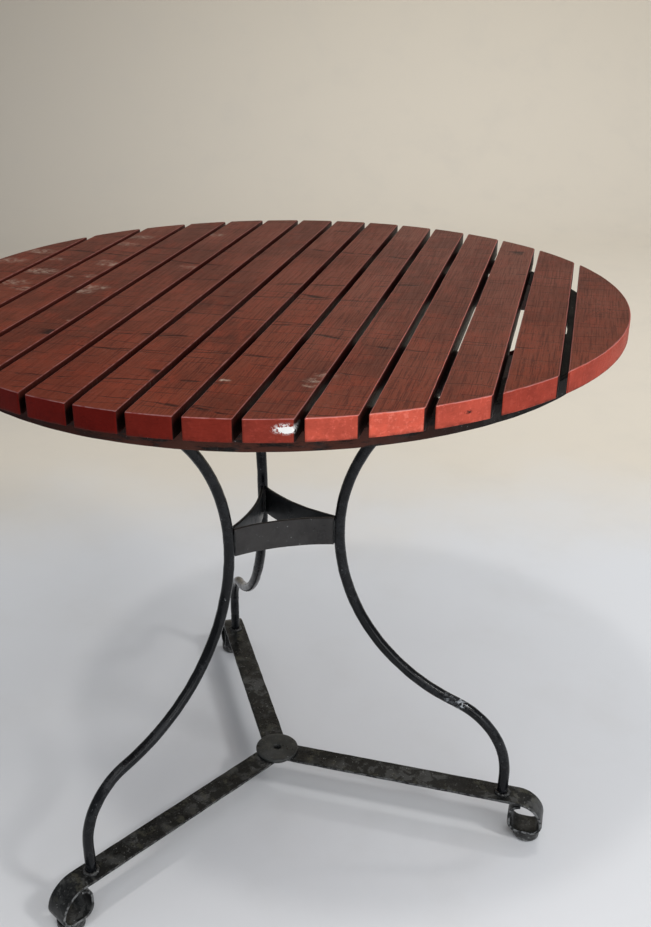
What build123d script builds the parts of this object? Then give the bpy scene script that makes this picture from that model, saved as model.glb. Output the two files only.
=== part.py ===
from build123d import *
import os
from math import asin, atan2, cos, degrees, radians, sin, sqrt, tan

# Round slatted bistro table. Millimetres, +Z up, Z = 0 is the floor, the Z axis runs through the
# middle of the top.  Slats run along Y; the right-hand leg stands on the +X side.

# ---- driving dimensions -------------------------------------------------------------------------
table_height = 735.0
top_diameter = 800.0
slat_thickness = 22.0
slat_gap = 6.5
right_end_slat_width = 58.5      # the two outermost slats are bow-shaped; this is the widest part
inner_slat_widths = [46.5, 45.5, 44.5, 43.5, 43.5, 44.0, 44.0, 44.5, 45.0, 45.5, 46.5, 47.0, 47.0]
edge_rounding = 1.6              # worn arris round the upper edge of every slat

hoop_outer_radius = 376.0        # iron hoop that the slats are screwed down to
hoop_height = 19.0
hoop_wall = 5.0
hoop_flange = 40.0

batten_width = 100.0             # boards that tie the slats together, crosswise under them
batten_thickness = 13.0
batten_offset = 156.0            # middle of each board from the middle of the top
batten_clearance = 2.0

rod_diameter = 14.0

# The legs were bent by hand and differ by a few millimetres.  From the floor up: where the foot lands
# on its arm, how far the rod rises straight, the knee that leans it over toward the middle, the lower
# sweep back to vertical at the waist, and the upper sweep out again.
legs = {
    "right": dict(azimuth=-1.0, foot=316.0, rise=96.0, knee=109.0, knee_turn=69.4,
                  lower_sweep=248.0, upper_sweep=225.0, upper_turn=50.0),
    "rear": dict(azimuth=119.0, foot=321.5, rise=114.0, knee=76.0, knee_turn=74.2,
                 lower_sweep=262.0, upper_sweep=232.0, upper_turn=57.0),
    "front": dict(azimuth=240.0, foot=324.5, rise=107.0, knee=86.0, knee_turn=75.4,
                  lower_sweep=240.0, upper_sweep=239.0, upper_turn=52.0),
}
shoulder_radius = 580.0          # slow curve from the upper sweep to the underside of the hoop
end_overlap = 1.0                # how far a rod's middle runs past the flange before it is ground flat

hub_centre = (-2.5, 0.4)         # the base is welded up a little off the middle of the top
arm_width = 33.5
arm_thickness = 4.0
arm_top = 63.0                   # height of the upper face of the base arms
arm_inner_end = 12.0

roll_start = 21.0                # the arm stays flat this far past the foot of its leg, then rolls under
roll_first_radius = 33.5
roll_first_turn = 82.0
roll_bottom = 13.0               # height of the underside of the roll
roll_flat = 12.0
roll_inner_radius = 15.0
roll_back_rise = 11.0
roll_end_turn = 85.0             # the strip's end tucks under, just short of the arm

glide_diameter = 35.0            # round moulded glide under each roll
glide_offset = 36.0              # past the foot of the leg

waist_bar_height = 38.0
waist_bar_thickness = 4.0
waist_bar_middle_z = 430.0
waist_bar_lean = 16.0            # degrees each end leans in toward the axis, which bows the bar
waist_bar_landing = 10.0         # degrees round the rod, so that two bar ends fit side by side
weld_gap = 0.1

upper_disc_diameter = 60.0       # two discs clamp the inner ends of the arms between them
lower_disc_diameter = 44.0
disc_thickness = 4.0
disc_hole_diameter = 11.0

screw_diameter = 4.0
screw_head_diameter = 8.0
screw_head_height = 2.4
screw_bite = 10.0                # how deep a screw runs into a slat
driver_slot = 1.0
pilot_clearance = 0.1
plate_clearance = 0.3
hoop_screw_radius = 356.0
end_screw_x = 347.0              # the outermost slats are screwed nearer in than their middles

foot_weld_size = 4.0             # leg of the fillet weld round the foot of each rod

# ---- derived ------------------------------------------------------------------------------------
top_radius = top_diameter / 2
slat_underside = table_height - slat_thickness
flange_underside = slat_underside - hoop_wall
batten_underside = slat_underside - batten_thickness
hoop_inner_radius = hoop_outer_radius - hoop_flange
batten_end_radius = hoop_inner_radius - batten_clearance
rod_radius = rod_diameter / 2
screw_radius = screw_diameter / 2
gap_count = len(inner_slat_widths) + 1
left_end_slat_width = (
    top_diameter - right_end_slat_width - sum(inner_slat_widths) - gap_count * slat_gap
)
slat_widths = [right_end_slat_width] + inner_slat_widths + [left_end_slat_width]
arm_middle_z = arm_top - arm_thickness / 2
roll_middle_z = roll_bottom + arm_thickness / 2

# both long edges of each slat, from the right-hand end of the top to the left
slat_edges = []
right_edge = top_radius
for width in slat_widths:
    slat_edges.append((right_edge - width, right_edge))
    right_edge -= width + slat_gap

# screw positions, seen from above
hoop_screws_at = []
batten_screws_at = []
for x_low, x_high in slat_edges:
    x_mid = (x_low + x_high) / 2
    x = max(-end_screw_x, min(end_screw_x, x_mid))
    y = sqrt(hoop_screw_radius**2 - x**2)
    hoop_screws_at += [(x, y), (x, -y)]
    if x_mid**2 + (batten_offset + batten_width / 2) ** 2 < batten_end_radius**2:
        batten_screws_at += [(x_mid, batten_offset), (x_mid, -batten_offset)]

os.makedirs("parts", exist_ok=True)


def save(builder, name):
    builder.part.label = name
    export_step(builder.part, f"parts/{name}.step")


# ---- slats: one board each, trimmed to the round top ---------------------------------------------
for number, (x_low, x_high) in enumerate(slat_edges, start=1):
    with BuildPart() as slat:
        with BuildSketch(Plane.XY.offset(slat_underside)):
            Circle(top_radius)
            with Locations(((x_low + x_high) / 2, 0)):
                Rectangle(x_high - x_low, top_diameter, mode=Mode.INTERSECT)
        extrude(amount=slat_thickness)
        fillet(slat.faces().sort_by(Axis.Z)[-1].edges(), radius=edge_rounding)
        pilots = [p for p in hoop_screws_at + batten_screws_at if x_low < p[0] < x_high]
        with BuildSketch(Plane.XY.offset(slat_underside)):
            with Locations(*pilots):
                Circle(screw_radius + pilot_clearance)
        extrude(amount=screw_bite + 1, mode=Mode.SUBTRACT)
    save(slat, f"slat_{number:02d}")

# ---- hoop under the slats: flat bar rolled on edge, with a flat ring welded inside its top -------
with BuildPart() as top_hoop:
    with BuildSketch(Plane.XY.offset(slat_underside - hoop_height)):
        Circle(hoop_outer_radius)
        Circle(hoop_outer_radius - hoop_wall, mode=Mode.SUBTRACT)
    extrude(amount=hoop_height)
save(top_hoop, "top_hoop")

with BuildPart() as flange_ring:
    with BuildSketch(Plane.XY.offset(flange_underside)):
        Circle(hoop_outer_radius - hoop_wall)
        Circle(hoop_inner_radius, mode=Mode.SUBTRACT)
        with Locations(*hoop_screws_at):
            Circle(screw_radius + plate_clearance, mode=Mode.SUBTRACT)
    extrude(amount=hoop_wall)
save(flange_ring, "hoop_flange")

# ---- cross battens inside the hoop ----------------------------------------------------------------
for name, side in (("batten_front", -1), ("batten_rear", 1)):
    with BuildPart() as batten:
        with BuildSketch(Plane.XY.offset(batten_underside)):
            Circle(batten_end_radius)
            with Locations((0, side * batten_offset)):
                Rectangle(top_diameter, batten_width, mode=Mode.INTERSECT)
        extrude(amount=batten_thickness)
        chamfer(batten.faces().sort_by(Axis.Z)[0].edges(), length=1.5)
        with BuildSketch(Plane.XY.offset(batten_underside)):
            with Locations(*[p for p in batten_screws_at if p[1] * side > 0]):
                Circle(screw_radius + plate_clearance)
        extrude(amount=batten_thickness, mode=Mode.SUBTRACT)
    save(batten, name)

# ---- pan-head screws, driven up from below --------------------------------------------------------
for name, positions, seat, grip in (
    ("hoop_screws", hoop_screws_at, flange_underside, hoop_wall),
    ("batten_screws", batten_screws_at, batten_underside, batten_thickness),
):
    with BuildPart() as screws:
        with BuildSketch(Plane.XY.offset(seat - screw_head_height)):
            with Locations(*positions):
                Circle(screw_head_diameter / 2)
        extrude(amount=screw_head_height)
        fillet(screws.edges().group_by(Axis.Z)[0], radius=screw_head_height * 0.6)
        with BuildSketch(Plane.XY.offset(seat)):
            with Locations(*positions):
                Circle(screw_radius)
        extrude(amount=grip + screw_bite)
        with BuildSketch(Plane.XY.offset(seat - screw_head_height)):
            with Locations(*positions):
                Rectangle(screw_head_diameter * 0.7, driver_slot)
        extrude(amount=driver_slot, mode=Mode.SUBTRACT)
    save(screws, name)

# ---- legs: one round rod each, bent in its own upright radial plane ------------------------------
waist_points = {}
for side, leg_dims in legs.items():
    radial = Plane.XZ.rotated((0, 0, leg_dims["azimuth"]))
    with BuildPart() as leg:
        with BuildLine(radial) as centreline:
            upright = Line((leg_dims["foot"], arm_top), (leg_dims["foot"], leg_dims["rise"]))
            knee = JernArc(upright @ 1, upright % 1, leg_dims["knee"], leg_dims["knee_turn"])
            lower = JernArc(knee @ 1, knee % 1, leg_dims["lower_sweep"], -leg_dims["knee_turn"])
            upper = JernArc(lower @ 1, lower % 1, leg_dims["upper_sweep"], -leg_dims["upper_turn"])
            rise_left = flange_underside + end_overlap - (upper @ 1).Z
            end_lean = asin(sin(radians(leg_dims["upper_turn"])) + rise_left / shoulder_radius)
            shoulder_turn = degrees(end_lean) - leg_dims["upper_turn"]
            JernArc(upper @ 1, upper % 1, shoulder_radius, -shoulder_turn)
        waist_points[side] = (lower @ 1).X, (lower @ 1).Y
        with BuildSketch(Plane(origin=upright @ 0, z_dir=upright % 0)):
            Circle(rod_radius)
        sweep(path=centreline.line)
        # the upper end is ground flat where it is welded up against the hoop's flange
        with Locations((0, 0, flange_underside)):
            Box(
                top_diameter, top_diameter, rod_diameter * 2,
                align=(Align.CENTER, Align.CENTER, Align.MIN), mode=Mode.SUBTRACT,
            )
    save(leg, f"leg_{side}")

# ---- base arms: flat bar from the hub, its outer end rolled down and under into a scroll foot ----
for side, leg_dims in legs.items():
    foot_x = leg_dims["foot"] * cos(radians(leg_dims["azimuth"])) - hub_centre[0]
    foot_y = leg_dims["foot"] * sin(radians(leg_dims["azimuth"])) - hub_centre[1]
    heading = atan2(foot_y, foot_x)
    along = Plane(
        origin=(*hub_centre, 0), x_dir=(cos(heading), sin(heading), 0),
        z_dir=(sin(heading), -cos(heading), 0),
    )
    foot_reach = sqrt(foot_x**2 + foot_y**2)
    with BuildPart() as arm:
        with BuildSketch(along):
            with BuildLine():
                bar = Line((arm_inner_end, arm_middle_z), (foot_reach + roll_start, arm_middle_z))
                first = JernArc(bar @ 1, bar % 1, roll_first_radius, -roll_first_turn)
                # the next bend brings the strip down to the height of the roll's flat bottom
                drop = (first @ 1).Y - roll_middle_z
                tight = drop / (1 + cos(radians(roll_first_turn)))
                second = JernArc(first @ 1, first % 1, tight, roll_first_turn - 180)
                sole = PolarLine(second @ 1, roll_flat, direction=second % 1)
                heel = JernArc(sole @ 1, sole % 1, roll_inner_radius, -90)
                back = PolarLine(heel @ 1, roll_back_rise, direction=heel % 1)
                JernArc(back @ 1, back % 1, roll_inner_radius, -roll_end_turn)
            trace(line_width=arm_thickness)
        extrude(amount=arm_width / 2, both=True)
    save(arm, f"base_arm_{side}")

    with BuildPart() as pad:
        reach = foot_reach + glide_offset
        with Locations((hub_centre[0] + reach * cos(heading),
                        hub_centre[1] + reach * sin(heading), 0)):
            Cylinder(glide_diameter / 2, roll_bottom,
                     align=(Align.CENTER, Align.CENTER, Align.MIN))
        fillet(pad.edges().group_by(Axis.Z)[0], radius=3.0)
        fillet(pad.edges().group_by(Axis.Z)[-1], radius=1.0)
    save(pad, f"foot_pad_{side}")

# ---- waist bars: flat bar on edge between neighbouring legs, bowed in toward the axis ------------
bar_sides = {
    "waist_bar_rear": ("right", "rear"),
    "waist_bar_left": ("rear", "front"),
    "waist_bar_front": ("front", "right"),
}
for name, (first_side, second_side) in bar_sides.items():
    start, finish = Vector(*waist_points[first_side]), Vector(*waist_points[second_side])
    chord = (finish - start).normalized()
    inward = Vector(-chord.Y, chord.X)
    reach = rod_radius + weld_gap
    landing = radians(waist_bar_landing)
    end_a = start + chord * (reach * cos(landing)) + inward * (reach * sin(landing))
    end_b = finish - chord * (reach * cos(landing)) + inward * (reach * sin(landing))
    bow = (end_b - end_a).length / 2 * tan(radians(waist_bar_lean) / 2)
    with BuildPart() as waist_bar:
        with BuildSketch(Plane.XY.offset(waist_bar_middle_z - waist_bar_height / 2)):
            with BuildLine():
                ThreePointArc(end_a, (end_a + end_b) / 2 + inward * bow, end_b)
            trace(line_width=waist_bar_thickness)
        extrude(amount=waist_bar_height)
        fillet(waist_bar.edges().filter_by(GeomType.CIRCLE), radius=0.8)
    save(waist_bar, name)

# ---- hub discs above and below the arms -----------------------------------------------------------
for name, diameter, underside in (
    ("hub_disc_upper", upper_disc_diameter, arm_top),
    ("hub_disc_lower", lower_disc_diameter, arm_top - arm_thickness - disc_thickness),
):
    with BuildPart() as disc:
        with BuildSketch(Plane.XY.offset(underside)):
            with Locations(hub_centre):
                Circle(diameter / 2)
                Circle(disc_hole_diameter / 2, mode=Mode.SUBTRACT)
        extrude(amount=disc_thickness)
        chamfer(disc.edges().filter_by(GeomType.CIRCLE).sort_by(SortBy.RADIUS)[-2:], length=0.6)
    save(disc, name)

# ---- fillet welds round the foot of each leg ------------------------------------------------------
with BuildPart() as foot_welds:
    for leg_dims in legs.values():
        azimuth = radians(leg_dims["azimuth"])
        centre = Location((leg_dims["foot"] * cos(azimuth), leg_dims["foot"] * sin(azimuth), arm_top))
        with Locations(centre):
            Cone(rod_radius + foot_weld_size, rod_radius + 0.5, foot_weld_size,
                 align=(Align.CENTER, Align.CENTER, Align.MIN))
            Cylinder(rod_radius, foot_weld_size * 2,
                     align=(Align.CENTER, Align.CENTER, Align.MIN), mode=Mode.SUBTRACT)
save(foot_welds, "foot_welds")
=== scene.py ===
import math
import random

import bpy
from mathutils import Matrix, Vector, noise


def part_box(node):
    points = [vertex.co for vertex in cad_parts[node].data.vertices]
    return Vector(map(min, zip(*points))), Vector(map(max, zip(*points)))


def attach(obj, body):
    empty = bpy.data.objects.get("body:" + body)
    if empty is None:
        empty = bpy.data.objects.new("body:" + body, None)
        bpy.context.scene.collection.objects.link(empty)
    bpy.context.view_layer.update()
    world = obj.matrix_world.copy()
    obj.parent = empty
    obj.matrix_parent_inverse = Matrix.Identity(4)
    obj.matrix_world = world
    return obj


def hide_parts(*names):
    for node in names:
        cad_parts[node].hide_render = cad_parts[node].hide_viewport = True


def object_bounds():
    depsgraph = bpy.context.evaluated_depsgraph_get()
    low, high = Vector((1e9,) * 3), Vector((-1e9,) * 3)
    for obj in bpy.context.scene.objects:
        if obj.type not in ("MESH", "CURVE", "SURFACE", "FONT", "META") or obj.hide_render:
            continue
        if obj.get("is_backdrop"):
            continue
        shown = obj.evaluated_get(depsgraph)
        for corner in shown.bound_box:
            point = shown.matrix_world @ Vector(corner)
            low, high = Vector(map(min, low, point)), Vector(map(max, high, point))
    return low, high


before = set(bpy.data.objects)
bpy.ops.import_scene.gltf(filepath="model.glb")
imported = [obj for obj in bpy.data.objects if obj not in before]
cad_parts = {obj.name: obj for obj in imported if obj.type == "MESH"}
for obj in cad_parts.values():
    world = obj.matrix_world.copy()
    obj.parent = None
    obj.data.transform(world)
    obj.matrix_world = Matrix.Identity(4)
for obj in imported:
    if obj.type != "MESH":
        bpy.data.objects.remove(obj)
cad_low, cad_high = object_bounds()
scene = bpy.context.scene

# ---- dimensions that the bent iron parts are swept from (metres, degrees) -----------------------
ROD_RADIUS = 0.007
ARM_WIDTH, ARM_THICKNESS = 0.0335, 0.004
BAR_HEIGHT, BAR_THICKNESS = 0.038, 0.004
BAR_LEAN, BAR_LANDING = 16.0, 10.0     # how far a bar's ends lean in, and how far round the rod they land
WELD_GAP = 0.0001
HOOP_OUTER, HOOP_WALL = 0.376, 0.005
HUB = Vector((-0.0025, 0.0004, 0.0))
LEGS = {
    "right": dict(azimuth=-1.0, foot=0.316, rise=0.096, knee=0.109, knee_turn=69.4,
                  lower=0.248, upper=0.225, upper_turn=50.0),
    "rear": dict(azimuth=119.0, foot=0.3215, rise=0.114, knee=0.076, knee_turn=74.2,
                 lower=0.262, upper=0.232, upper_turn=57.0),
    "front": dict(azimuth=240.0, foot=0.3245, rise=0.107, knee=0.086, knee_turn=75.4,
                  lower=0.240, upper=0.239, upper_turn=52.0),
}
SHOULDER = 0.580
ARM_INNER_END = 0.012
ARM_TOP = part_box("base_arm_right")[1][2]
FLANGE_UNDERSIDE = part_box("hoop_flange")[0][2]
END_OVERLAP = 0.001
SLAT_COUNT = 15

# the roll at the outer end of each arm, from the flat arm down, under and back up
ROLL_START, ROLL_BOTTOM, ROLL_MIDDLE_Z = 0.021, 0.013, 0.031
ROLL_FIRST_RADIUS, ROLL_FIRST_TURN = 0.0335, 82.0
ROLL_FLAT, ROLL_INNER_RADIUS = 0.012, 0.015
ROLL_BACK_RISE, ROLL_END_TURN = 0.011, 85.0
GLIDE_OFFSET = 0.036

# camera, and the floor that curves up into a wall squarely behind the table (metres, degrees)
CAMERA_SPOT = (0.34119, -1.16480, 1.06382)
CAMERA_PITCH, CAMERA_ROLL, CAMERA_TURN = 24.897, -0.768, 16.295
CAMERA_LENS, CAMERA_SHIFT = 58.735, (0.0769, 0.01395)
FLOOR_Z, FLOOR_END, COVE_RADIUS, BACKDROP_TURN = -0.0002, 3.4, 1.2, 16.3


# ================================================================================================
# camera, floor, light
# ================================================================================================
def place_camera():
    pitch, roll, turn = (math.radians(a) for a in (CAMERA_PITCH, CAMERA_ROLL, CAMERA_TURN))
    forward = Vector((-math.sin(turn) * math.cos(pitch), math.cos(turn) * math.cos(pitch),
                      -math.sin(pitch)))
    level = Vector((math.cos(turn), math.sin(turn), 0.0))
    rise = level.cross(forward)
    x_axis = level * math.cos(roll) + rise * math.sin(roll)
    y_axis = -level * math.sin(roll) + rise * math.cos(roll)
    data = bpy.data.cameras.new("camera")
    data.sensor_fit, data.sensor_width, data.lens = "HORIZONTAL", 36.0, CAMERA_LENS
    data.shift_x, data.shift_y = CAMERA_SHIFT
    data.clip_end = 100.0
    camera = bpy.data.objects.new("camera", data)
    scene.collection.objects.link(camera)
    matrix = Matrix.Identity(4)
    for i, spot in enumerate(CAMERA_SPOT):
        matrix[i][0], matrix[i][1], matrix[i][2], matrix[i][3] = x_axis[i], y_axis[i], -forward[i], spot
    camera.matrix_world = matrix
    scene.camera = camera


def area_light(name, spot, target, size, power, colour):
    data = bpy.data.lights.new(name, "AREA")
    data.shape, data.size, data.energy, data.color = "DISK", size, power, colour
    lamp = bpy.data.objects.new(name, data)
    lamp.location = spot
    lamp.rotation_euler = (Vector(target) - Vector(spot)).to_track_quat("-Z", "Y").to_euler()
    scene.collection.objects.link(lamp)


# ================================================================================================
# node helpers
# ================================================================================================
class Shader:
    """A Principled material with short calls for the procedural nodes that feed it."""

    def __init__(self, name, roughness=0.5, metallic=0.0, specular=0.5, coat=0.0, coat_roughness=0.2):
        self.material = bpy.data.materials.new(name)
        self.material.use_nodes = True
        self.tree = self.material.node_tree
        self.tree.nodes.clear()
        self.out = self.tree.nodes.new("ShaderNodeOutputMaterial")
        self.surface = self.tree.nodes.new("ShaderNodeBsdfPrincipled")
        self.tree.links.new(self.surface.outputs[0], self.out.inputs[0])
        self.surface.inputs["Roughness"].default_value = roughness
        self.surface.inputs["Metallic"].default_value = metallic
        self.surface.inputs["Specular IOR Level"].default_value = specular
        self.surface.inputs["Coat Weight"].default_value = coat
        self.surface.inputs["Coat Roughness"].default_value = coat_roughness
        self.place = self.tree.nodes.new("ShaderNodeTexCoord").outputs["Object"]

    def put(self, socket, value):
        if isinstance(value, bpy.types.NodeSocket):
            self.tree.links.new(value, socket)
        else:
            socket.default_value = value

    def moved(self, scale=(1, 1, 1), shift=(0, 0, 0), source=None):
        node = self.tree.nodes.new("ShaderNodeMapping")
        self.tree.links.new(source or self.place, node.inputs["Vector"])
        node.inputs["Scale"].default_value = scale
        node.inputs["Location"].default_value = shift
        return node.outputs[0]

    def noise(self, scale, detail=3.0, rough=0.55, source=None, distortion=0.0):
        node = self.tree.nodes.new("ShaderNodeTexNoise")
        self.tree.links.new(source or self.place, node.inputs["Vector"])
        node.inputs["Scale"].default_value = scale
        node.inputs["Detail"].default_value = detail
        node.inputs["Roughness"].default_value = rough
        node.inputs["Distortion"].default_value = distortion
        return node.outputs["Fac"]

    def cells(self, scale, source=None, randomness=1.0):
        """Distance to the lines of a flat net of cells in X and Y."""
        node = self.tree.nodes.new("ShaderNodeTexVoronoi")
        node.voronoi_dimensions = "2D"
        node.feature = "DISTANCE_TO_EDGE"
        self.tree.links.new(source or self.place, node.inputs["Vector"])
        node.inputs["Scale"].default_value = scale
        node.inputs["Randomness"].default_value = randomness
        return node.outputs["Distance"]

    def step(self, value, low, high, out_low=0.0, out_high=1.0):
        node = self.tree.nodes.new("ShaderNodeMapRange")
        node.interpolation_type = "SMOOTHSTEP"
        node.clamp = True
        self.put(node.inputs["Value"], value)
        for name, number in (("From Min", low), ("From Max", high), ("To Min", out_low),
                             ("To Max", out_high)):
            node.inputs[name].default_value = number
        return node.outputs[0]

    def math(self, operation, a, b=0.0):
        node = self.tree.nodes.new("ShaderNodeMath")
        node.operation = operation
        self.put(node.inputs[0], a)
        self.put(node.inputs[1], b)
        return node.outputs[0]

    def mix(self, factor, a, b):
        node = self.tree.nodes.new("ShaderNodeMix")
        node.data_type = "RGBA"
        self.put(node.inputs["Factor"], factor)
        for socket, value in ((node.inputs[6], a), (node.inputs[7], b)):
            self.put(socket, (*value, 1.0) if isinstance(value, tuple) else value)
        return node.outputs[2]

    def axis(self, which, source=None):
        node = self.tree.nodes.new("ShaderNodeSeparateXYZ")
        self.tree.links.new(source or self.place, node.inputs[0])
        return node.outputs["XYZ".index(which)]

    def normal(self):
        return self.tree.nodes.new("ShaderNodeNewGeometry").outputs["Normal"]

    def spot(self, centre, radius, squash=(1.0, 1.0, 1.0)):
        """1 at centre, falling to 0 at radius, in the object's own space."""
        scale = tuple(s / radius for s in squash)
        shift = tuple(-c * s for c, s in zip(centre, scale))
        node = self.tree.nodes.new("ShaderNodeVectorMath")
        node.operation = "LENGTH"
        self.tree.links.new(self.moved(scale, shift), node.inputs[0])
        return self.step(node.outputs["Value"], 0.35, 1.0, 1.0, 0.0)

    def bump(self, height, distance, strength=1.0, after=None):
        node = self.tree.nodes.new("ShaderNodeBump")
        node.inputs["Strength"].default_value = strength
        node.inputs["Distance"].default_value = distance
        self.put(node.inputs["Height"], height)
        if after:
            self.tree.links.new(after, node.inputs["Normal"])
        return node.outputs[0]

    def finish(self, colour, roughness=None, normal=None):
        self.put(self.surface.inputs["Base Color"], colour)
        if roughness is not None:
            self.put(self.surface.inputs["Roughness"], roughness)
        if normal is not None:
            self.put(self.surface.inputs["Normal"], normal)
        return self.material


# ================================================================================================
# materials
# ================================================================================================
# pale smears and scuffs on top of the slats: where (x, y), how far across, how strong
SMEARS = (
    (-0.374, 0.065, 0.017, 0.50), (-0.360, 0.120, 0.017, 0.55), (-0.308, 0.021, 0.018, 0.65),
    (-0.318, 0.083, 0.010, 0.40), (-0.316, -0.036, 0.017, 0.50), (-0.292, -0.060, 0.012, 0.45),
    (-0.216, -0.055, 0.012, 0.60), (-0.209, -0.035, 0.014, 0.60), (-0.236, 0.012, 0.010, 0.45),
    (-0.262, 0.006, 0.007, 0.45), (-0.264, 0.185, 0.014, 0.45), (-0.239, 0.074, 0.014, 0.60),
    (-0.250, 0.088, 0.009, 0.40), (-0.262, 0.230, 0.016, 0.45), (-0.133, 0.083, 0.014, 0.30),
    (-0.178, -0.166, 0.004, 1.0), (-0.162, 0.266, 0.014, 0.45), (0.043, -0.305, 0.0045, 1.0),
    (0.124, -0.286, 0.010, 0.65), (0.129, -0.270, 0.009, 0.60), (0.121, -0.300, 0.006, 0.50),
)
# how chalky and bright the paint is on the near end of each slat, from the right-hand slat on; this is
# partly chalkier paint and partly painted light, the fall towards the left being painted shade on the
# ends that turn away from the light
END_CHALK_AND_LIGHT = (0.42, 0.36, 0.58, 0.90, 0.68, 0.27, 0.17, 0.07)


def slat_paint(name, seed, number):
    """Old red paint: bright on the ends, partly as painted light, darkened by grime on top, with grain
    and crazing.
    """
    rng = random.Random(seed)
    low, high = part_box("slat_%02d" % number)
    s = Shader(name, roughness=0.45, specular=0.09 if 2 < number < 7 else 0.05)
    shift = (rng.uniform(-5, 5), rng.uniform(-5, 5), rng.uniform(-5, 5))
    grain = s.noise(1.0, 4.0, 0.62, s.moved((700, 20, 700), shift))
    fibres = s.noise(1.0, 3.0, 0.55, s.moved((1500, 70, 1500), shift))
    pores = s.noise(1.0, 2.0, 0.5, s.moved((820, 150, 820), shift))
    broad = s.noise(9.0, 3.0, 0.6, s.moved((1, 0.6, 1), shift))
    patches = s.noise(38.0, 4.0, 0.65, s.moved((1, 0.7, 1), shift))
    mottling = s.noise(260.0, 3.0, 0.6, s.moved((1, 1, 1), shift))

    # fine crazing runs straight across, in line from one board to the next
    wander = s.noise(16.0, 2.0, 0.5, s.moved((1, 1, 1), (0.3, number * 0.004, 0)))
    bent = s.tree.nodes.new("ShaderNodeCombineXYZ")
    s.put(bent.inputs[0], s.axis("X"))
    s.put(bent.inputs[1], s.math("ADD", s.axis("Y"), s.math("MULTIPLY", wander, 0.018)))
    craze = s.cells(1.0, source=s.moved((1.4, 38.0, 1.0), (0.02 * (number % 3), 0.37, 0),
                                        bent.outputs[0]), randomness=0.9)
    craze_part = s.step(s.noise(40.0, 3.0, 0.6, s.moved((1, 1, 1), shift)), 0.36, 0.52)
    craze_mark = s.math("MULTIPLY", s.step(craze, 0.004, 0.026, 1.0, 0.0), craze_part)
    fine = s.cells(1.0, source=s.moved((30.0, 90.0, 1.0), (0.1 * number, 0.0, 0), bent.outputs[0]))
    fine_part = s.step(s.noise(30.0, 2.0, 0.5, s.moved((1, 1, 1), shift)), 0.50, 0.66)
    fine_mark = s.math("MULTIPLY", s.step(fine, 0.006, 0.030, 1.0, 0.0), fine_part)

    up = s.axis("Z", s.normal())
    top = s.step(up, 0.90, 0.99)

    # ends: brick red, chalkier on some boards than on others, and painted lighter on the boards that face
    # the light and darker on those turned away
    chalk_and_light = END_CHALK_AND_LIGHT[number - 1] if number <= len(END_CHALK_AND_LIGHT) else 0.02
    deep, pale = (0.086, 0.0022, 0.0010), (0.78, 0.130, 0.078)
    tint = tuple(d + (p - d) * chalk_and_light for d, p in zip(deep, pale))
    bright = s.mix(s.step(patches, 0.34, 0.70), tint, tuple(c * 0.74 for c in tint))
    bright = s.mix(s.step(mottling, 0.50, 0.74, 0.0, 0.30 + 0.35 * chalk_and_light), bright,
                   tuple(min(0.8, c * 1.3 + 0.05 * chalk_and_light) for c in tint))
    bright = s.mix(s.step(s.noise(1.0, 3.0, 0.6, s.moved((160, 160, 900), shift)), 0.54, 0.72, 0.0,
                          0.45), bright, tuple(c * 0.45 for c in tint))

    tone = rng.uniform(-0.05, 0.05)
    red = 0.5 + 0.5 * (number >= 9)
    worn = s.mix(s.step(broad, 0.36 + tone, 0.64 + tone), (0.146, 0.032, 0.016), (0.090, 0.023, 0.013))
    worn = s.mix(s.step(patches, 0.44, 0.70, 0.0, 0.55), worn, (0.205, 0.034, 0.016))
    worn = s.mix(s.step(fibres, 0.46, 0.76, 0.0, 0.40), worn, (0.044, 0.015, 0.011))
    worn = s.mix(s.step(grain, 0.50, 0.64, 0.0, 0.72 - 0.22 * red), worn, (0.036, 0.013, 0.010))
    worn = s.mix(s.step(pores, 0.62, 0.72, 0.0, 0.75), worn, (0.020, 0.008, 0.007))
    worn = s.mix(s.step(mottling, 0.56, 0.76, 0.0, 0.42), worn, (0.175, 0.072, 0.054))
    # browner and greyer toward the back, redder toward the front
    back = s.step(s.math("ADD", s.axis("Y"), s.math("MULTIPLY", s.axis("X"), 0.3)), -0.38, 0.36)
    worn = s.mix(s.math("MULTIPLY", back, 0.40), worn, (0.105, 0.048, 0.037))
    near = s.step(s.axis("Y"), -0.40, -0.16, 0.35 * red, 0.0)
    worn = s.mix(near, worn, (0.150, 0.020, 0.009))
    if number == 1:        # scribbled scratches on the outermost board
        scribble = s.cells(1.0, source=s.moved((150, 90, 150), (1.0, 0.0, 0.0)))
        place = s.spot((0.366, 0.012, high[2]), 0.060, (1.9, 1.0, 0.3))
        lines = s.math("MULTIPLY", s.step(scribble, 0.01, 0.06, 1.0, 0.0),
                       s.step(s.noise(120.0, 2.0, 0.5), 0.46, 0.60))
        worn = s.mix(s.math("MULTIPLY", place, lines), worn, (0.016, 0.008, 0.007))

    colour = s.mix(top, bright, worn)
    colour = s.mix(s.math("MULTIPLY", craze_mark, s.math("MULTIPLY", top, 0.90)), colour,
                   (0.014, 0.006, 0.005))
    colour = s.mix(s.math("MULTIPLY", fine_mark, s.math("MULTIPLY", top, 0.42)), colour,
                   (0.040, 0.014, 0.010))

    # long sides inside the gaps: painted shade, near-black down in the gap, and reddest just below the
    # edge where they are painted as lit
    across = s.math("ABSOLUTE", s.axis("X", s.normal()))
    by_left = s.step(s.axis("X"), low[0] + 0.0012, low[0] + 0.0022, float(number < SLAT_COUNT), 0.0)
    by_right = s.step(s.axis("X"), high[0] - 0.0022, high[0] - 0.0012, 0.0, float(number > 1))
    straight = s.math("MULTIPLY", s.step(across, 0.45, 0.75), s.math("MAXIMUM", by_left, by_right))
    redness = 0.022 + 0.028 * max(0, number - 7) / 8
    side = s.mix(s.step(s.axis("Z"), high[2] - 0.010, high[2] - 0.0015), (0.005, 0.0015, 0.001),
                 (redness * 1.3, redness * 0.26, redness * 0.18))
    colour = s.mix(straight, colour, side)
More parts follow.
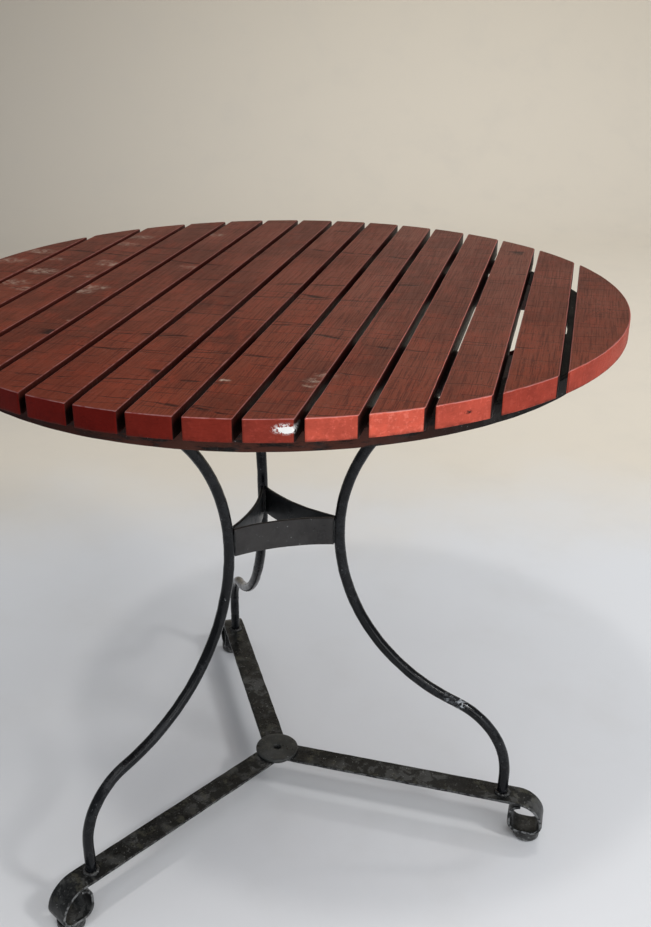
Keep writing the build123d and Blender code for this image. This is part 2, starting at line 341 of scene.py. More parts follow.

    # rounded edges carry a thin paler line, partly rubbed paint and partly a painted highlight, stronger
    # along the ends that are painted as lit
    arris = s.math("MULTIPLY", s.step(up, 0.35, 0.62), s.step(up, 0.86, 0.985, 1.0, 0.0))
    broken = s.step(s.noise(95.0, 3.0, 0.65, s.moved((1, 1, 1), shift)), 0.36, 0.60, 0.25, 0.95)
    on_ends = s.math("MULTIPLY", broken, s.math("SUBTRACT", 1.0, straight))
    colour = s.mix(s.math("MULTIPLY", arris, on_ends), colour,
                   tuple(min(0.8, c * 1.1 + 0.10 + 0.12 * chalk_and_light) for c in tint))
    long_arris = s.math("MULTIPLY", s.step(up, 0.55, 0.80), s.step(up, 0.93, 0.995, 1.0, 0.0))
    long_arris = s.math("MULTIPLY", long_arris, s.step(across, 0.06, 0.25))
    colour = s.mix(s.math("MULTIPLY", long_arris, broken), colour, (0.190, 0.072, 0.062))

    for x, y, size, strength in SMEARS:
        if low[0] - size < x < high[0] + size:
            ragged = s.step(s.noise(170.0, 5.0, 0.72, s.moved((0.8, 1, 1), (x, y, 0))), 0.42, 0.64)
            mask = s.math("MULTIPLY", s.spot((x, y, high[2]), size, (0.62, 1.0, 0.4)), ragged)
            colour = s.mix(s.math("MULTIPLY", s.math("MULTIPLY", mask, top), strength), colour,
                           (0.36, 0.275, 0.215))

    if number == 6:        # a chip through to the white primer on the near end of this board
        ragged = s.math("MULTIPLY", s.spot((0.1205, low[1] + 0.012, 0.7255), 0.0135, (1.0, 0.5, 2.1)),
                        s.step(s.noise(420.0, 4.0, 0.75), 0.48, 0.53))
        core = s.math("ADD", s.spot((0.1225, low[1] + 0.012, 0.7245), 0.0085, (1.0, 0.5, 1.9)),
                      s.math("MULTIPLY", s.noise(330.0, 4.0, 0.7), 0.8))
        chip = s.math("MAXIMUM", ragged, s.step(core, 0.80, 0.90))
        colour = s.mix(chip, colour, (0.88, 0.86, 0.83))
    if number == 3:        # a small dark knock
        knock = s.math("MULTIPLY", s.spot((0.263, -0.303, 0.724), 0.0045, (1.0, 0.5, 1.8)),
                       s.step(s.noise(500.0, 3.0, 0.7), 0.36, 0.50))
        colour = s.mix(knock, colour, (0.025, 0.012, 0.010))

    # darker in patches along the lower edges of the ends
    low_edge = s.step(s.axis("Z"), low[2], low[2] + 0.004, 1.0, 0.0)
    dark_low_edge = s.math("MULTIPLY", low_edge, s.step(s.noise(90.0, 3.0, 0.6), 0.40, 0.62))
    colour = s.mix(s.math("MULTIPLY", dark_low_edge, 0.6), colour, (0.05, 0.016, 0.012))

    height = s.math("ADD", s.math("MULTIPLY", grain, 0.5), s.math("MULTIPLY", pores, -0.3))
    height = s.math("SUBTRACT", height, s.math("MULTIPLY", craze_mark, 0.6))
    height = s.math("ADD", height, s.math("MULTIPLY", patches, 0.4))
    rough = s.math("ADD", s.step(grain, 0.3, 0.7, 0.36, 0.50),
                   s.math("MULTIPLY", top, s.step(broad, 0.35, 0.65, 0.04, 0.14)))
    return s.finish(colour, rough, s.bump(height, 0.00035, 0.7))


def iron(name, seed, base=(0.008, 0.0085, 0.0095), scuff=0.3, dust=0.0, smears=False, knee_wear=(),
         patch=(0.075, 0.076, 0.074), size=1.0, gloss=0.24, rough=0.30, edge=None, ring=None):
    """Black-painted iron: satin, scuffed to grey in patches, with chips and fine scratches."""
    rng = random.Random(seed)
    shift = (rng.uniform(-5, 5), rng.uniform(-5, 5), rng.uniform(-5, 5))
    s = Shader(name, roughness=rough, specular=gloss)
    broad = s.noise(22.0 * size, 4.0, 0.6, s.moved((1, 1, 1), shift))
    blotch = s.noise(70.0 * size, 5.0, 0.68, s.moved((1, 1, 1), shift), 0.5)
    grit = s.noise(700.0, 3.0, 0.6, s.moved((1, 1, 1), shift))
    pit = s.noise(420.0, 2.0, 0.5, s.moved((1, 1, 1), shift))
    scratch = s.noise(1.0, 2.0, 0.5, s.moved((1100, 1100, 110), shift))

    colour = s.mix(s.step(broad, 0.36, 0.64), base, tuple(c * 1.7 + 0.002 for c in base))
    worn = s.math("MULTIPLY", s.step(blotch, 0.49, 0.56), s.step(broad, 0.38, 0.58, 0.1, 1.0))
    colour = s.mix(s.math("MULTIPLY", worn, scuff), colour, patch)
    colour = s.mix(s.step(grit, 0.60, 0.76, 0.0, 0.18 + 0.3 * scuff), colour,
                   tuple(c * 1.8 for c in patch))
    colour = s.mix(s.step(scratch, 0.67, 0.75, 0.0, 0.15 + 0.3 * scuff), colour, (0.17, 0.175, 0.18))
    chips = s.math("MULTIPLY", s.step(pit, 0.70, 0.74), s.step(blotch, 0.50, 0.62))
    colour = s.mix(s.math("MULTIPLY", chips, 0.8), colour, (0.50, 0.51, 0.51))
    if dust:
        soil = s.noise(60.0, 5.0, 0.7, s.moved((1, 1, 1), (shift[1], shift[0], 0.2)))
        lies = s.step(s.axis("Z", s.normal()), 0.2, 0.9)
        soil_mask = s.math("MULTIPLY", s.step(soil, 0.53, 0.64), lies)
        colour = s.mix(s.math("MULTIPLY", soil_mask, dust), colour, (0.072, 0.070, 0.052))
        fleck = s.math("MULTIPLY", s.step(s.noise(240.0, 4.0, 0.7, s.moved((1, 1, 1), shift)),
                                          0.62, 0.69), lies)
        colour = s.mix(s.math("MULTIPLY", fleck, dust), colour, (0.26, 0.26, 0.25))
    if edge:               # bare, rubbed side edges with a painted highlight along them, and painted light on the lit inside of the roll
        node = s.tree.nodes.new("ShaderNodeVectorMath")
        node.operation = "DOT_PRODUCT"
        s.put(node.inputs[0], s.normal())
        node.inputs[1].default_value = edge
        # the side faces: rubbed bare in patches and partly a painted highlight, brighter near the roll
        rubbed_and_highlight = s.math("MULTIPLY", s.step(s.math("ABSOLUTE", node.outputs["Value"]), 0.45, 0.85),
                        s.step(s.noise(150.0, 4.0, 0.7, s.moved((1, 1, 1), shift)), 0.44, 0.60))
        by_roll = s.math("ADD", s.math("MULTIPLY", s.spot(ring, 0.050), 0.35), 0.35)
        colour = s.mix(s.math("MULTIPLY", rubbed_and_highlight, by_roll), colour, (0.24, 0.245, 0.245))
        # painted light: the inside of the roll painted pale where it is lit, broken up in patches
        lit_inside = s.math("MULTIPLY", s.spot(ring, 0.0215), s.step(blotch, 0.40, 0.56, 0.35, 1.0))
        colour = s.mix(s.math("MULTIPLY", lit_inside, 0.75), colour, (0.16, 0.158, 0.150))
    for centre, radius, strength in knee_wear:
        mask = s.math("MULTIPLY", s.spot(centre, radius), s.step(s.noise(300.0, 4.0, 0.7), 0.50, 0.60))
        colour = s.mix(s.math("MULTIPLY", mask, strength), colour, (0.46, 0.49, 0.52))
    if smears:             # red paint smeared along the hoop below the front and left-hand slats
        streak = s.noise(1.0, 4.0, 0.7, s.moved((34, 34, 150), shift))
        left = s.step(s.axis("X"), -0.20, 0.06, 1.0, 0.0)
        middle = s.math("MULTIPLY", s.step(streak, 0.36, 0.52), s.step(s.axis("X"), 0.14, 0.30, 1.0, 0.0))
        mask = s.math("MAXIMUM", s.math("MULTIPLY", left, 0.75), s.math("MULTIPLY", middle, 0.85))
        colour = s.mix(mask, colour, s.mix(left, (0.090, 0.034, 0.024), (0.024, 0.0024, 0.0012)))
    height = s.math("ADD", s.math("MULTIPLY", blotch, 0.8), s.math("MULTIPLY", grit, 0.22))
    height = s.math("SUBTRACT", height, s.math("MULTIPLY", chips, 0.4))
    uneven_rough = s.math("ADD", s.step(broad, 0.3, 0.7, rough - 0.05, rough + 0.09),
                          s.math("MULTIPLY", worn, 0.16))
    return s.finish(colour, uneven_rough, s.bump(height, 0.0006, 0.5))


def dark_wood(name):
    s = Shader(name, roughness=0.6, specular=0.35)
    grain = s.noise(1.0, 4.0, 0.6, s.moved((14, 520, 520)))
    blotch = s.noise(40.0, 4.0, 0.6)
    colour = s.mix(s.step(grain, 0.35, 0.68), (0.030, 0.018, 0.016), (0.060, 0.036, 0.030))
    colour = s.mix(s.step(blotch, 0.58, 0.75, 0.0, 0.5), colour, (0.100, 0.070, 0.055))
    return s.finish(colour, s.step(grain, 0.3, 0.7, 0.5, 0.72), s.bump(grain, 0.0005, 0.7))


def zinc(name):
    s = Shader(name, roughness=0.4, metallic=0.9)
    blotch = s.noise(700.0, 3.0, 0.6)
    colour = s.mix(s.step(blotch, 0.40, 0.65), (0.42, 0.42, 0.40), (0.20, 0.19, 0.17))
    colour = s.mix(s.step(s.noise(420.0, 2.0, 0.5), 0.60, 0.72, 0.0, 0.7), colour, (0.20, 0.09, 0.05))
    return s.finish(colour, s.step(blotch, 0.3, 0.7, 0.32, 0.6), s.bump(blotch, 0.0002, 0.5))


def glide_plastic(name):
    s = Shader(name, roughness=0.38, specular=0.45)
    s.surface.inputs["Subsurface Weight"].default_value = 0.05
    s.surface.inputs["Subsurface Radius"].default_value = (0.004, 0.004, 0.004)
    blotch = s.noise(170.0, 4.0, 0.65)
    fine = s.noise(900.0, 2.0, 0.6)
    colour = s.mix(s.step(blotch, 0.46, 0.60), (0.024, 0.024, 0.023), (0.150, 0.152, 0.148))
    # dark patches on the upper part where the roll sits: partly dirt, partly painted shade under the roll
    dirt_and_shade = s.math("MULTIPLY", s.step(s.axis("Z"), 0.003, 0.009),
                  s.step(s.noise(210.0, 4.0, 0.7), 0.36, 0.50))
    colour = s.mix(s.math("MULTIPLY", dirt_and_shade, 0.95), colour, (0.012, 0.011, 0.010))
    scrape = s.step(s.axis("Z"), 0.0, 0.0035, 0.8, 0.0)
    colour = s.mix(s.math("MULTIPLY", scrape, s.step(fine, 0.42, 0.6)), colour, (0.34, 0.345, 0.34))
    return s.finish(colour, s.step(blotch, 0.3, 0.7, 0.32, 0.55), s.bump(blotch, 0.0003, 0.5))


# ================================================================================================
# mesh building
# ================================================================================================
def add_piece(name, verts, faces, material, stands_for=()):
    mesh = bpy.data.meshes.new(name)
    mesh.from_pydata([tuple(v) for v in verts], [], faces)
    mesh.update()
    mesh.polygons.foreach_set("use_smooth", [True] * len(mesh.polygons))
    mesh.materials.append(material)
    piece = bpy.data.objects.new(name, mesh)
    scene.collection.objects.link(piece)
    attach(piece, "root")
    if stands_for:
        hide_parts(*stands_for)
    return piece


def paint_node(node, material):
    """A material for a CAD node that is shown as it is."""
    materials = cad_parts[node].data.materials
    materials.clear()
    materials.append(material)


def skin(rings, closed=False):
    """Quads between rings of equal length; end caps unless the run of rings is closed."""
    count = len(rings[0])
    verts = [v for ring in rings for v in ring]
    faces = []
    for i in range(len(rings) if closed else len(rings) - 1):
        a, b = i * count, (i + 1) % len(rings) * count
        for k in range(count):
            n = (k + 1) % count
            faces.append((a + k, a + n, b + n, b + k))
    if not closed:
        faces.append(tuple(reversed(range(count))))
        last = (len(rings) - 1) * count
        faces.append(tuple(last + k for k in range(count)))
    return verts, faces


def ripple(point, scale, seed):
    return noise.noise(Vector(point) * scale + Vector((seed * 7.3, seed * 3.1, seed * 5.7)))


def outline(x_low, x_high, radius, step=0.005):
    """Plan of a board trimmed to the round top, anticlockwise, corners eased."""
    def reach(x):
        return math.sqrt(max(radius * radius - x * x, 0.0))

    points = []

    def line(a, b):
        n = max(2, round((b - a).length / step))
        points.extend(a.lerp(b, k / n) for k in range(n))

    def arc(a0, a1):
        n = max(3, round(abs(a1 - a0) * radius / (step * 0.8)))
        points.extend(Vector((radius * math.cos(a0 + (a1 - a0) * k / n),
                              radius * math.sin(a0 + (a1 - a0) * k / n))) for k in range(n))

    right_angle = math.acos(min(1.0, x_high / radius))
    left_angle = math.acos(max(-1.0, x_low / radius))
    if right_angle > 0.01:
        line(Vector((x_high, -reach(x_high))), Vector((x_high, reach(x_high))))
        arc(right_angle, left_angle)
    else:
        arc(-left_angle, left_angle)
    if left_angle < math.pi - 0.01:
        line(Vector((x_low, reach(x_low))), Vector((x_low, -reach(x_low))))
        if right_angle > 0.01:
            arc(-left_angle, -right_angle)
    else:
        arc(math.pi, 2 * math.pi - right_angle)
    eased = []
    for k, p in enumerate(points):
        q = points[(k + 1) % len(points)]
        eased += [p.lerp(q, 0.25), p.lerp(q, 0.75)]
    return eased


def board(name, x_low, x_high, radius, bottom, top, material, stands_for, seed,
          top_round, bottom_round):
    """A solid board with rounded, slightly uneven edges, trimmed to the round top."""
    plan = outline(x_low, x_high, radius)
    middle, half = (x_low + x_high) / 2, (x_high - x_low) / 2

    def inset(p, d):
        x = middle + (p.x - middle) * (half - d) / half
        reach_out = math.sqrt(max(radius ** 2 - p.x ** 2, 1e-9))
        reach_in = math.sqrt(max((radius - d) ** 2 - x * x, 1e-9))
        return x, p.y * reach_in / reach_out

    uneven = [0.00010 + 0.00016 * (1 + ripple((p.x, p.y, 0), 40.0, seed)) for p in plan]
    arris = [top_round * (1.0 + 0.30 * ripple((p.x, p.y, 0.3), 26.0, seed)
                          + 0.9 * max(0.0, ripple((p.x, p.y, 0.9), 60.0, seed) - 0.30))
             for p in plan]
    rings = []

    def ring(depth, z):
        rings.append([(*inset(p, depth(k) + uneven[k]), z(k)) for k, p in enumerate(plan)])

    ring(lambda k: bottom_round + 0.0008, lambda k: bottom)
    ring(lambda k: bottom_round, lambda k: bottom)
    ring(lambda k: bottom_round * 0.29, lambda k: bottom + bottom_round * 0.29)
    ring(lambda k: 0.0, lambda k: bottom + bottom_round)
    ring(lambda k: 0.0, lambda k: bottom + bottom_round + 0.0008)
    ring(lambda k: 0.0, lambda k: (bottom + top) / 2)
    ring(lambda k: 0.0, lambda k: top - arris[k] - 0.0007)
    for turn in (0, 18, 36, 54, 72, 90):
        a = math.radians(turn)
        ring(lambda k: arris[k] * (1 - math.cos(a)), lambda k: top - arris[k] * (1 - math.sin(a)))
    ring(lambda k: arris[k] + 0.0007, lambda k: top)
    verts, faces = skin(rings)
    return add_piece(name, verts, faces, material, stands_for)


def round_section(radius, count=20):
    return [(radius * math.cos(2 * math.pi * k / count), radius * math.sin(2 * math.pi * k / count))
            for k in range(count)]


def bar_section(width, thickness, corner=0.0009, across=8):
    """Flat bar: eased corners, and points across its faces so that they can be uneven."""
    half_w, half_t = width / 2, thickness / 2
    points = []
    for sx, sy, start in ((1, 1, 0), (-1, 1, 90), (-1, -1, 180), (1, -1, 270)):
        for turn in (0, 30, 60, 90):
            a = math.radians(start + turn)
            points.append((sx * (half_w - corner) + corner * math.cos(a),
                           sy * (half_t - corner) + corner * math.sin(a)))
        if start in (0, 180):
            flat = width - 2 * corner
            for k in range(across + 1):
                t = (0.0006 + (flat - 0.0012) * k / across) / flat
                points.append((sx * (half_w - corner) * (1 - 2 * t), sy * half_t))
    return points


def sweep(path, side, section, closed=False, uneven=0.0, scale=60.0, seed=1, swell=None):
    """A section carried along a path that lies in one plane; side is that plane's normal."""
    side = Vector(side)
    rings = []
    total = len(path)
    for i, p in enumerate(path):
        before = path[i - 1] if (i or closed) else p
        after = path[(i + 1) % total] if (i < total - 1 or closed) else p
        along = (after - before).normalized()
        up = side.cross(along).normalized()
        size = swell(i / (total - 1)) if swell else 1.0
        ring = []
        for a, b in section:
            out = (side * a + up * b) * size
            spot = p + out
            if uneven:
                spot = spot + out.normalized() * uneven * (ripple(spot, scale, seed) - 0.25)
            ring.append(spot)
        rings.append(ring)
    return rings


def end_eased(rings, ease=0.0007):
    """Rounds over the two cut ends of a sweep a little, so that they aren't razor sharp."""
    out = []
    for ring, neighbour in ((rings[0], rings[1]), (rings[-1], rings[-2])):
        middle = sum((Vector(v) for v in ring), Vector()) / len(ring)
        outward = (middle - sum((Vector(v) for v in neighbour), Vector()) / len(neighbour)).normalized()
        loops = []
        for inset, back in ((0.0, 1.0), (0.3, 0.3), (1.0, 0.0), (1.8, 0.0)):
            loops.append([Vector(v) + (middle - Vector(v)).normalized() * ease * inset
                          - outward * ease * back for v in ring])
        out.append(loops)
    start, finish = out
    return list(reversed(start)) + rings[1:-1] + finish


def bend(start, heading, runs, spacing=0.006):
    """Points (r, z) along straights ("go", length) and arcs ("turn", radius, degrees, + is left)."""
    r, z = start
    a = math.radians(heading)
    points = [(r, z)]
    for run in runs:
        if run[0] == "go":
            n = max(1, round(run[1] / spacing))
            for _ in range(n):
                r, z = r + math.cos(a) * run[1] / n, z + math.sin(a) * run[1] / n
                points.append((r, z))
        else:
            radius, turn = run[1], math.radians(run[2])
            n = max(2, round(abs(turn) * radius / spacing), round(abs(run[2]) / 4))
            sign = 1 if turn > 0 else -1
            cr, cz = r - sign * radius * math.sin(a), z + sign * radius * math.cos(a)
            for k in range(1, n + 1):
                b = a + turn * k / n
                points.append((cr + sign * radius * math.sin(b), cz - sign * radius * math.cos(b)))
            a += turn
            r, z = points[-1]
    return points


def radial_path(points, origin, heading):
    c, s = math.cos(heading), math.sin(heading)
    return [Vector((origin[0] + r * c, origin[1] + r * s, z)) for r, z in points]


def lathe(profile, centre, seed, segments=56, uneven=0.0):
    """A closed profile (r, z) turned round a vertical axis through centre."""
    rings = []
    for i in range(segments):
        a = 2 * math.pi * i / segments
        ring = []
        for r, z in profile:
            wobble = uneven * ripple((r * math.cos(a), r * math.sin(a), z), 60.0, seed)
            ring.append((centre[0] + (r + wobble) * math.cos(a),
                         centre[1] + (r + wobble) * math.sin(a), z + wobble * 0.4))
        rings.append(ring)
    return skin(rings, closed=True)


def join(parts):
    verts, faces = [], []
    for v, f in parts:
        faces += [tuple(k + len(verts) for k in face) for face in f]
        verts += v
    return verts, faces


# ================================================================================================
# table top
# ================================================================================================
TOP_RADIUS = (cad_high[0] - cad_low[0]) / 2
for number in range(1, SLAT_COUNT + 1):
    node = "slat_%02d" % number
    low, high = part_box(node)
    board("board_%02d" % number, low[0], high[0], TOP_RADIUS, low[2],
          high[2] - random.Random(number).uniform(0.0, 0.0003),
          slat_paint("slat paint %02d" % number, number * 17 + 3, number), (node,),
          number, 0.0015, 0.0007)

batten_material = dark_wood("batten paint")
for node in ("batten_front", "batten_rear"):
    paint_node(node, batten_material)
screw_material = zinc("zinc")
for node in ("hoop_screws", "batten_screws"):
    paint_node(node, screw_material)

hoop_material = iron("hoop iron", 5, base=(0.009, 0.0078, 0.0072), scuff=0.22, smears=True, gloss=0.05,
                     rough=0.45)
low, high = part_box("top_hoop")
hoop_radius = HOOP_OUTER - HOOP_WALL / 2
hoop_path = [Vector((hoop_radius * math.cos(2 * math.pi * k / 240),
                     hoop_radius * math.sin(2 * math.pi * k / 240),
                     (low[2] + high[2]) / 2)) for k in range(240)]
verts, faces = skin(sweep(hoop_path, (0, 0, 1), bar_section(high[2] - low[2], HOOP_WALL, 0.0008, 5),
                          closed=True, uneven=0.0003, scale=40.0, seed=2), closed=True)
add_piece("hoop_wall", verts, faces, hoop_material, ("top_hoop",))
paint_node("hoop_flange", hoop_material)

# ================================================================================================
# legs
# ================================================================================================
waist = {}
for index, (side, leg) in enumerate(LEGS.items()):
    azimuth = math.radians(leg["azimuth"])
    bends = [("go", leg["rise"] - ARM_TOP), ("turn", leg["knee"], leg["knee_turn"]),
             ("turn", leg["lower"], -leg["knee_turn"])]
    to_waist = bend((leg["foot"], ARM_TOP), 90.0, bends)
    waist[side] = Vector((to_waist[-1][0] * math.cos(azimuth), to_waist[-1][0] * math.sin(azimuth)))
    swept = leg["upper"] * math.sin(math.radians(leg["upper_turn"]))
    left = FLANGE_UNDERSIDE + END_OVERLAP - to_waist[-1][1] - swept
    lean = math.degrees(math.asin(math.sin(math.radians(leg["upper_turn"])) + left / SHOULDER))
    bends += [("turn", leg["upper"], -leg["upper_turn"]), ("turn", SHOULDER, leg["upper_turn"] - lean)]
    path = radial_path(bend((leg["foot"], ARM_TOP), 90.0, bends), (0, 0), azimuth)
    rings = sweep(path, (math.sin(azimuth), -math.cos(azimuth), 0), round_section(ROD_RADIUS, 24),
                  uneven=0.00035, scale=75.0, seed=11 + index)
    for ring in rings:
        for v in ring:
            v.z = min(v.z, FLANGE_UNDERSIDE)
    verts, faces = skin(rings)
    wear = ((tuple(path[26]), 0.015, 0.9), (tuple(path[29]), 0.011, 0.7)) if side == "right" else ()
    add_piece("rod_" + side, verts, faces,
              iron("rod iron " + side, 21 + index, base=(0.0018, 0.0021, 0.0028), scuff=0.18,
                   gloss=0.21, rough=0.16, knee_wear=wear, patch=(0.045, 0.048, 0.053)),
              ("leg_" + side,))

# ================================================================================================
# base arms with rolled feet, glides, welds
# ================================================================================================
arm_middle = ARM_TOP - ARM_THICKNESS / 2
glide_material = glide_plastic("glide plastic")
weld_parts = []
for index, (side, leg) in enumerate(LEGS.items()):
    azimuth = math.radians(leg["azimuth"])
    foot = Vector((leg["foot"] * math.cos(azimuth), leg["foot"] * math.sin(azimuth), 0.0))
    away = foot - HUB
    heading, reach = math.atan2(away.y, away.x), away.length
    lean = math.cos(math.radians(ROLL_FIRST_TURN))
    drop = arm_middle - ROLL_FIRST_RADIUS * (1 - lean)
    tight = (drop - ROLL_BOTTOM - ARM_THICKNESS / 2) / (1 + lean)
    runs = [("go", reach + ROLL_START - ARM_INNER_END), ("turn", ROLL_FIRST_RADIUS, -ROLL_FIRST_TURN),
            ("turn", tight, ROLL_FIRST_TURN - 180.0), ("go", ROLL_FLAT),
            ("turn", ROLL_INNER_RADIUS, -90.0), ("go", ROLL_BACK_RISE),
            ("turn", ROLL_INNER_RADIUS, -ROLL_END_TURN)]
    points = bend((ARM_INNER_END, arm_middle), 0.0, runs, 0.005)
    middle = HUB + Vector((math.cos(heading), math.sin(heading), 0)) * (reach + GLIDE_OFFSET)
    ring_middle = middle + Vector((0, 0, ROLL_MIDDLE_Z))
    path = radial_path(points, HUB, heading)
    rings = sweep(path, (math.sin(heading), -math.cos(heading), 0),
                  bar_section(ARM_WIDTH, ARM_THICKNESS), uneven=0.0005, scale=45.0, seed=31 + index)
    verts, faces = skin(end_eased(rings))
    add_piece("arm_" + side, verts, faces,
              iron("arm iron " + side, 41 + index, base=(0.0035, 0.0038, 0.0038), scuff=0.85, dust=0.5,
                   patch=(0.060, 0.061, 0.059), size=0.8,
                   edge=(-math.sin(heading), math.cos(heading), 0.0), ring=tuple(ring_middle)),
              ("base_arm_" + side,))

    glide = [(0.0025, 0.0), (0.0140, 0.0), (0.0158, 0.0005), (0.0169, 0.0016), (0.0175, 0.0032),
             (0.0175, 0.0062), (0.0172, 0.0066), (0.0172, 0.0072), (0.0175, 0.0076),
             (0.0175, 0.0116), (0.0171, 0.0126), (0.0161, 0.0130), (0.0025, 0.0130)]
    verts, faces = lathe(glide, middle, 51 + index)
    add_piece("glide_" + side, verts, faces, glide_material, ("foot_pad_" + side,))

    ring_path = []
    for k in range(72):
        a = 2 * math.pi * k / 72
        r = ROD_RADIUS + 0.0012 + 0.0004 * ripple((math.cos(a), math.sin(a), 0), 2.0, index + 3)
        ring_path.append(foot + Vector((r * math.cos(a), r * math.sin(a), ARM_TOP + 0.0012)))
    bead = []
    for k, p in enumerate(ring_path):
        a = 2 * math.pi * k / 72
        out = Vector((math.cos(a), math.sin(a), 0))
        size = 0.0022 * (1 + 0.16 * math.sin(11 * a + index)
                         + 0.3 * ripple((math.cos(a), math.sin(a), 1), 2.4, index))
        bead.append([p + out * size * math.cos(2 * math.pi * j / 12)
                     + Vector((0, 0, size * math.sin(2 * math.pi * j / 12))) for j in range(12)])
    weld_parts.append(skin(bead, closed=True))
verts, faces = join(weld_parts)
add_piece("foot_weld_beads", verts, faces,
          iron("weld iron", 61, base=(0.020, 0.020, 0.020), scuff=0.9, dust=0.6),
          ("foot_welds",))

# ================================================================================================
# waist bars and hub
# ================================================================================================
BARS = {"rear": ("right", "rear"), "left": ("rear", "front"), "front": ("front", "right")}
bar_low, bar_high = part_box("waist_bar_front")
bar_middle = (bar_low[2] + bar_high[2]) / 2
bead_parts = []
for index, (name, (first, second)) in enumerate(BARS.items()):
    a, b = waist[first], waist[second]
    chord = (b - a).normalized()
    inward = Vector((-chord.y, chord.x))
    grip, landing = ROD_RADIUS + WELD_GAP, math.radians(BAR_LANDING)
    a = a + chord * (grip * math.cos(landing)) + inward * (grip * math.sin(landing))
    b = b - chord * (grip * math.cos(landing)) + inward * (grip * math.sin(landing))
    half = (b - a).length / 2
    bow = half * math.tan(math.radians(BAR_LEAN) / 2)
    radius = (half * half + bow * bow) / (2 * bow)
    centre = (a + b) / 2 + inward * (bow - radius)
    spread = math.asin(half / radius)
    path = []
    for k in range(41):
        t = -spread + 2 * spread * k / 40
        spot = centre + (inward * math.cos(t) + chord * math.sin(t)) * radius
        path.append(Vector((spot.x, spot.y, bar_middle)))
    rings = sweep(path, (0, 0, 1), bar_section(BAR_HEIGHT, BAR_THICKNESS, 0.0008),
                  uneven=0.00035, scale=45.0, seed=71 + index)
    verts, faces = skin(end_eased(rings, 0.0004))
    base = (0.025, 0.023, 0.022) if name == "front" else (0.010, 0.011, 0.012)
    add_piece("tie_" + name, verts, faces,
              iron("tie iron " + name, 81 + index, base=base, scuff=0.15),
              ("waist_bar_" + name,))
    for end, toward in ((path[0], chord), (path[-1], -chord)):
        for flip in (-1, 1):
            spot = end + Vector((toward.x, toward.y, 0)) * 0.0004 \
                + Vector((inward.x, inward.y, 0)) * flip * BAR_THICKNESS * 0.5
            line = [spot + Vector((0, 0, -0.017 + 0.034 * k / 40)) for k in range(41)]
            rings = sweep(line, (chord.x, chord.y, 0), round_section(0.0014, 10), seed=index,
                          swell=lambda t: (0.25 + min(1.0, 8 * t, 8 * (1 - t)) * 0.75)
                          * (1 + 0.16 * math.sin(70 * t)))
            bead_parts.append(skin(rings))
verts, faces = join(bead_parts)
add_piece("waist_weld_beads", verts, faces,
          iron("waist weld iron", 91, base=(0.010, 0.010, 0.010), scuff=0.3))

for name, node, outer in (("hub_upper", "hub_disc_upper", 0.030), ("hub_lower", "hub_disc_lower", 0.022)):
    low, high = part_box(node)
    profile = [(0.0055, low[2] + 0.0004), (0.0055, high[2] - 0.0005), (0.0060, high[2] - 0.0001),
               (0.0068, high[2]), (0.012, high[2]), (0.018, high[2]),
               (0.024 if outer > 0.025 else 0.020, high[2]),
               (outer - 0.0012, high[2]), (outer - 0.0004, high[2] - 0.0003), (outer, high[2] - 0.0011),
               (outer, low[2] + 0.0009), (outer - 0.0006, low[2] + 0.0001), (outer - 0.0016, low[2]),
               (0.0065, low[2])]
    verts, faces = lathe(profile, HUB, 95, 72, 0.00018)
    add_piece(name, verts, faces, iron(name + " iron", 97, base=(0.021, 0.022, 0.021), scuff=0.32,
                                       dust=0.35), (node,))

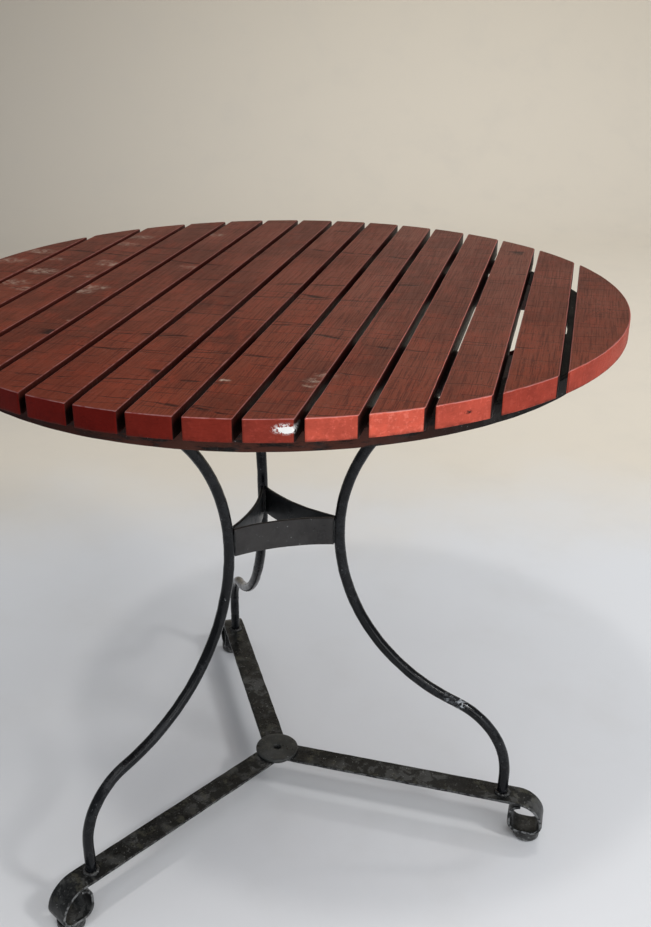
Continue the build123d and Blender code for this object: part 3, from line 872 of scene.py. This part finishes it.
# ================================================================================================
# setting
# ================================================================================================
def backdrop():
    """Pale floor that curves up into a plain wall behind, coloured with painted light and shade."""
    rows = []
    profile = [(y, FLOOR_Z) for y in (-7.0, -2.0, 1.0, FLOOR_END)]
    for k in range(1, 15):
        a = math.radians(90.0 * k / 14)
        profile.append((FLOOR_END + COVE_RADIUS * math.sin(a),
                        COVE_RADIUS * (1 - math.cos(a)) + FLOOR_Z))
    profile += [(FLOOR_END + COVE_RADIUS, 2.5), (FLOOR_END + COVE_RADIUS, 6.5)]
    turn = math.radians(BACKDROP_TURN)
    for x in (-8.0, -3.0, 3.0, 8.0):
        rows.append([(x * math.cos(turn) - y * math.sin(turn), x * math.sin(turn) + y * math.cos(turn), z)
                     for y, z in profile])
    count = len(profile)
    verts = [v for row in rows for v in row]
    faces = [(i * count + k, (i + 1) * count + k, (i + 1) * count + k + 1, i * count + k + 1)
             for i in range(3) for k in range(count - 1)]
    mesh = bpy.data.meshes.new("backdrop")
    mesh.from_pydata(verts, [], faces)
    mesh.polygons.foreach_set("use_smooth", [True] * len(mesh.polygons))
    s = Shader("paper", roughness=0.85, specular=0.15)
    across = s.math("ADD", s.math("MULTIPLY", s.axis("X"), math.cos(turn)),
                    s.math("MULTIPLY", s.axis("Y"), math.sin(turn)))
    depth = s.math("SUBTRACT", s.math("MULTIPLY", s.axis("Y"), math.cos(turn)),
                   s.math("MULTIPLY", s.axis("X"), math.sin(turn)))
    cloud = s.math("MULTIPLY", s.math("SUBTRACT", s.noise(2.4, 4.0, 0.6), 0.5), 0.5)
    # painted light and shade: the floor paler towards the front and greyer towards the back
    floor = s.mix(s.step(depth, -0.7, 0.15), (0.86, 0.875, 0.90), (0.68, 0.695, 0.72))
    colour = s.mix(s.step(s.math("ADD", depth, cloud), 0.55, 1.25), floor, (0.70, 0.645, 0.555))
    # painted shade: darker higher up the wall
    colour = s.mix(s.step(s.axis("Z"), 0.1, 2.0, 0.0, 0.42), colour, (0.36, 0.325, 0.25))
    shade = s.math("MULTIPLY", s.step(across, -3.2, 1.2, 0.6, 0.0), s.step(depth, 0.6, 2.4, 0.25, 1.0))
    colour = s.mix(shade, colour, (0.27, 0.25, 0.23))
    colour = s.mix(s.step(s.noise(5.0, 5.0, 0.6), 0.45, 0.75, 0.0, 0.12), colour, (0.50, 0.48, 0.45))
    mesh.materials.append(s.finish(colour))
    thing = bpy.data.objects.new("backdrop", mesh)
    scene.collection.objects.link(thing)
    thing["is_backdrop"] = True


place_camera()
backdrop()
area_light("overhead", (-0.38, -1.35, 4.3), (0.0, 0.0, 0.6), 0.30, 24.0, (1.0, 0.97, 0.93))
area_light("key", (2.45, -0.84, 2.7), (0.0, 0.0, 0.7), 0.50, 30.0, (1.0, 0.985, 0.97))
area_light("window", (3.2, -2.6, 1.7), (0.0, 0.0, 0.5), 2.4, 42.0, (0.97, 0.985, 1.0))
area_light("front fill", (0.6, -2.6, 3.0), (0.2, -0.6, 0.0), 2.2, 24.0, (0.97, 0.985, 1.0))
area_light("ceiling", (0.6, 0.2, 4.2), (0.0, 0.2, 0.0), 5.0, 50.0, (0.97, 0.985, 1.0))
area_light("wall wash", (0.8, 1.8, 3.4), (0.2, 4.6, 0.9), 1.2, 52.0, (1.0, 0.97, 0.93))
world = bpy.data.worlds.new("room")
scene.world = world
world.use_nodes = True
world.node_tree.nodes["Background"].inputs["Color"].default_value = (0.90, 0.94, 1.0, 1.0)
world.node_tree.nodes["Background"].inputs["Strength"].default_value = 0.32
scene.view_settings.view_transform = "Standard"

low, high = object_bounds()
